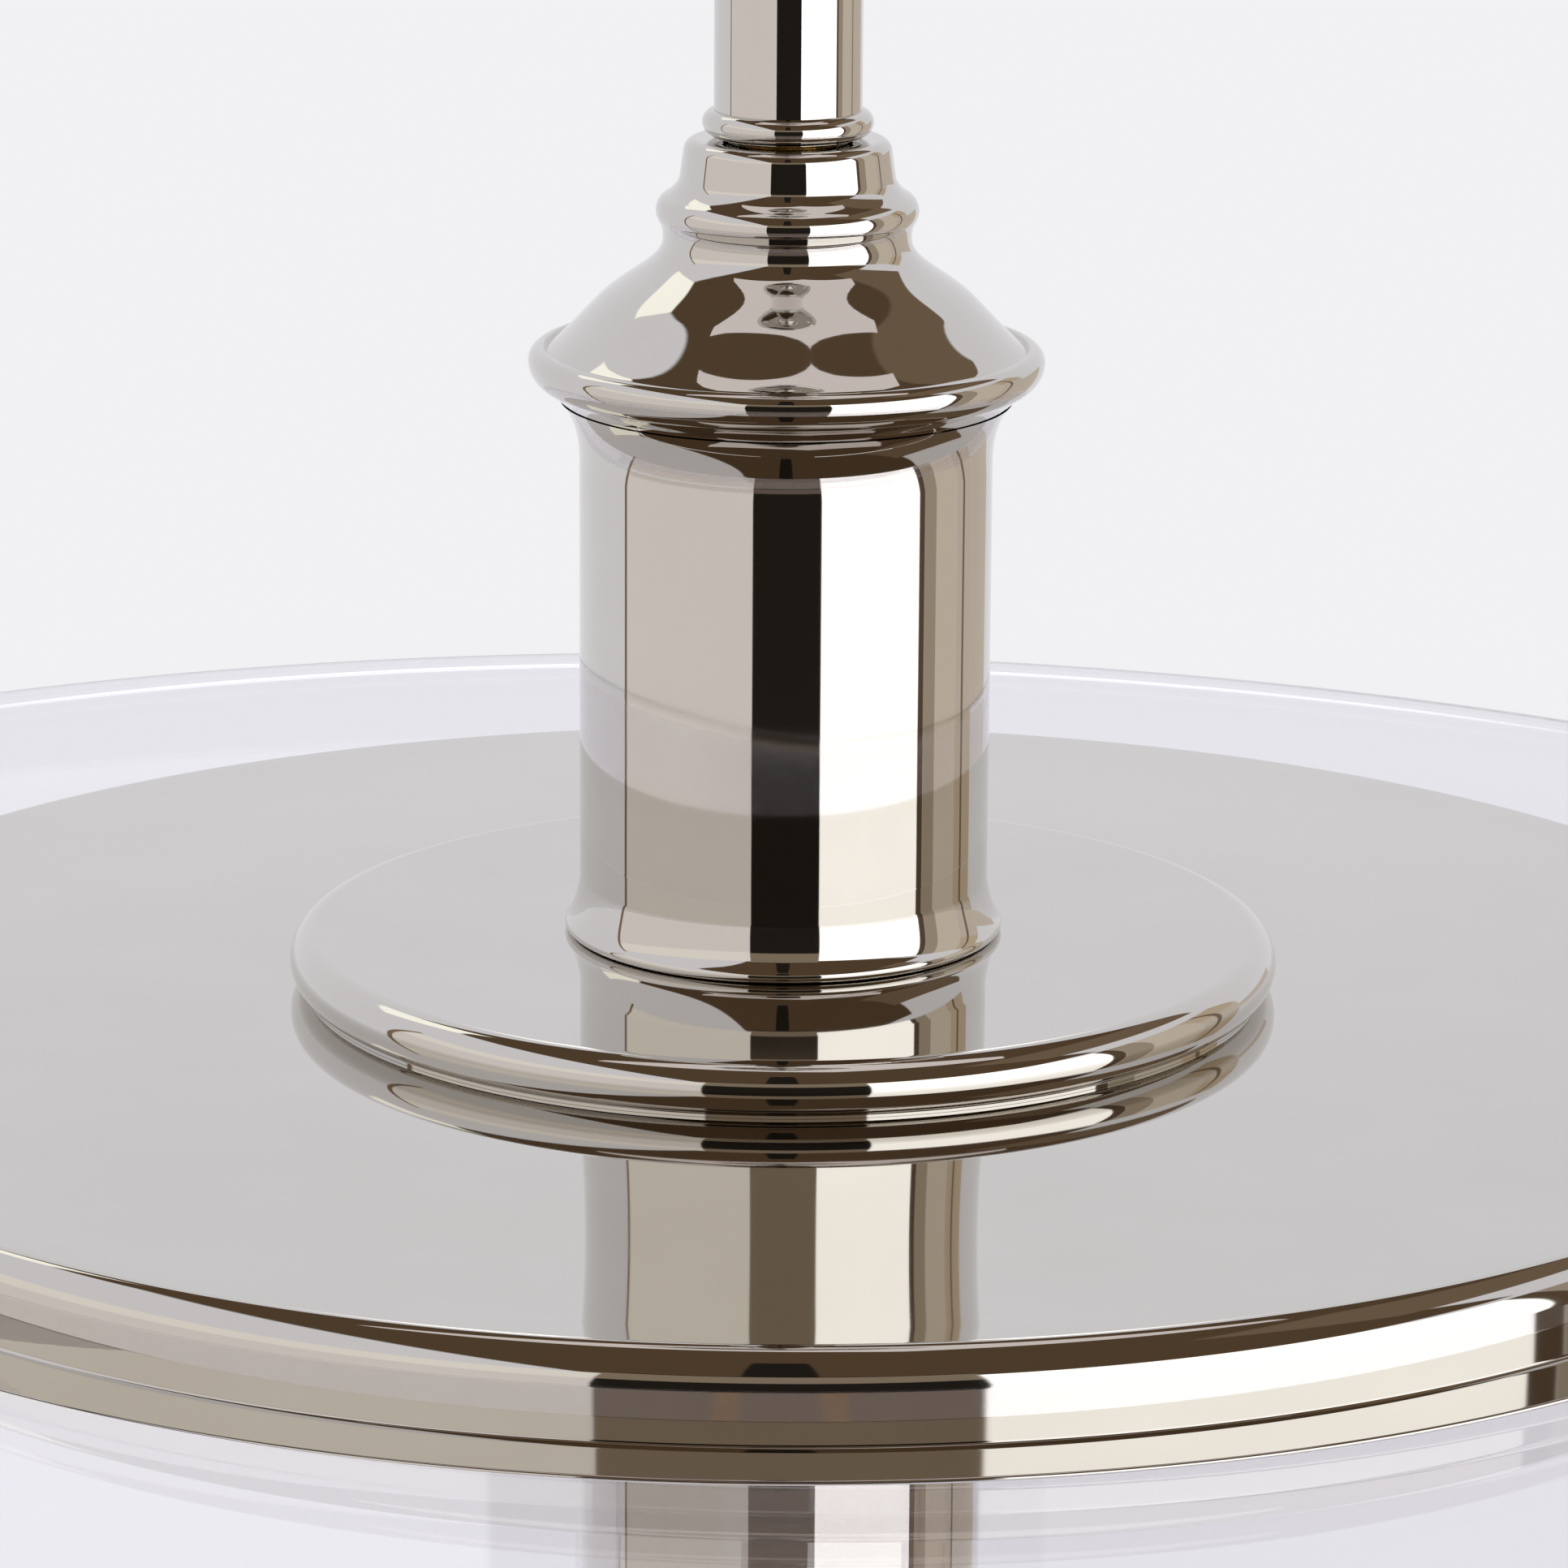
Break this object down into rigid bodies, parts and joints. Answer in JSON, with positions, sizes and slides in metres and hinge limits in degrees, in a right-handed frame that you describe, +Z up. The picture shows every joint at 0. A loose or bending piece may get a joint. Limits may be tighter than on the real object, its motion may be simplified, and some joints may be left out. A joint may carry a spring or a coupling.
{
  "type": "pendant light",
  "caption": "Pendant light: ceiling canopy, two-axis swivel, polished stem, turned neck, wide flat shade cap with a thin brim, and a clear flat-shouldered glass shade around a screw-in lamp.",
  "frame": {"origin": "middle of the ceiling strap's top face, on the ceiling plane, on the light's axis", "axes": "+Z up along the light's axis into the ceiling, +X along the strap"},
  "size_m": [0.446, 0.446, 0.7209],
  "materials": {
    "polished_nickel": "mirror-polished nickel plate on brass",
    "zinc_steel": "zinc-plated steel",
    "brass": "bare turned and pressed brass",
    "shade_glass": "clear blown glass, fire-polished",
    "lamp_glass": "thin clear lamp glass",
    "silicone": "translucent silicone",
    "ceramic": "white glazed porcelain",
    "flex_sheath": "matt sheath",
    "vitrite": "black lamp-base glass",
    "phosphor": "amber phosphor coat"
  },
  "bodies": {
    "ceiling": {"mounting_strap": "zinc_steel", "canopy_stud_a": "zinc_steel", "canopy_stud_b": "zinc_steel", "canopy_ball_nut_a": "polished_nickel", "canopy_ball_nut_b": "polished_nickel", "canopy": "polished_nickel", "canopy_washer": "zinc_steel", "canopy_nut": "zinc_steel", "canopy_nipple": "brass", "terminal_block": "ceramic", "upper_flex": "flex_sheath", "swivel_upper_yoke": "polished_nickel", "pivot_screw_x_a": "polished_nickel", "pivot_screw_x_b": "polished_nickel"},
    "gimbal": {"swivel_gimbal_ring": "polished_nickel"},
    "pendant": {"swivel_lower_yoke": "polished_nickel", "pivot_screw_y_a": "polished_nickel", "pivot_screw_y_b": "polished_nickel", "stem_top_collar": "polished_nickel", "stem_tube": "polished_nickel", "stem_bush": "brass", "stem_lower_collar": "polished_nickel", "lower_flex": "flex_sheath", "neck_cap": "polished_nickel", "neck_washer": "zinc_steel", "neck_locknut": "zinc_steel", "neck_nipple": "brass", "lampholder_locknut": "zinc_steel", "neck_cup": "polished_nickel", "step_flange": "polished_nickel", "shade_cap": "polished_nickel", "glass_spacer": "zinc_steel", "upper_gasket": "silicone", "glass_shade": "shade_glass", "lower_gasket": "silicone", "retaining_plate": "polished_nickel", "shade_ring": "polished_nickel", "lampholder_sleeve": "polished_nickel", "lampholder_cap": "ceramic", "lampholder_body": "ceramic", "lampholder_shell": "brass", "lampholder_contact": "brass"},
    "lamp": {"lamp_cap": "brass", "lamp_insulator": "vitrite", "lamp_contact": "brass", "lamp_glass": "lamp_glass", "lamp_stem": "lamp_glass", "lamp_filament": "phosphor"}
  },
  "joints": [
    {"name": "swivel_tilt_x", "type": "hinge", "parent": "ceiling", "child": "gimbal", "pos_m": [0, 0, -0.0548], "axis": [1, 0, 0], "range_deg": [-20, 20]},
    {"name": "swivel_tilt_y", "type": "hinge", "parent": "gimbal", "child": "pendant", "pos_m": [0, 0, -0.0548], "axis": [0, 1, 0], "range_deg": [-20, 20]},
    {"name": "lamp_unscrew", "type": "slide", "parent": "pendant", "child": "lamp", "axis": [0, 0, -1], "range_m": [0, 0.045]}
  ]
}
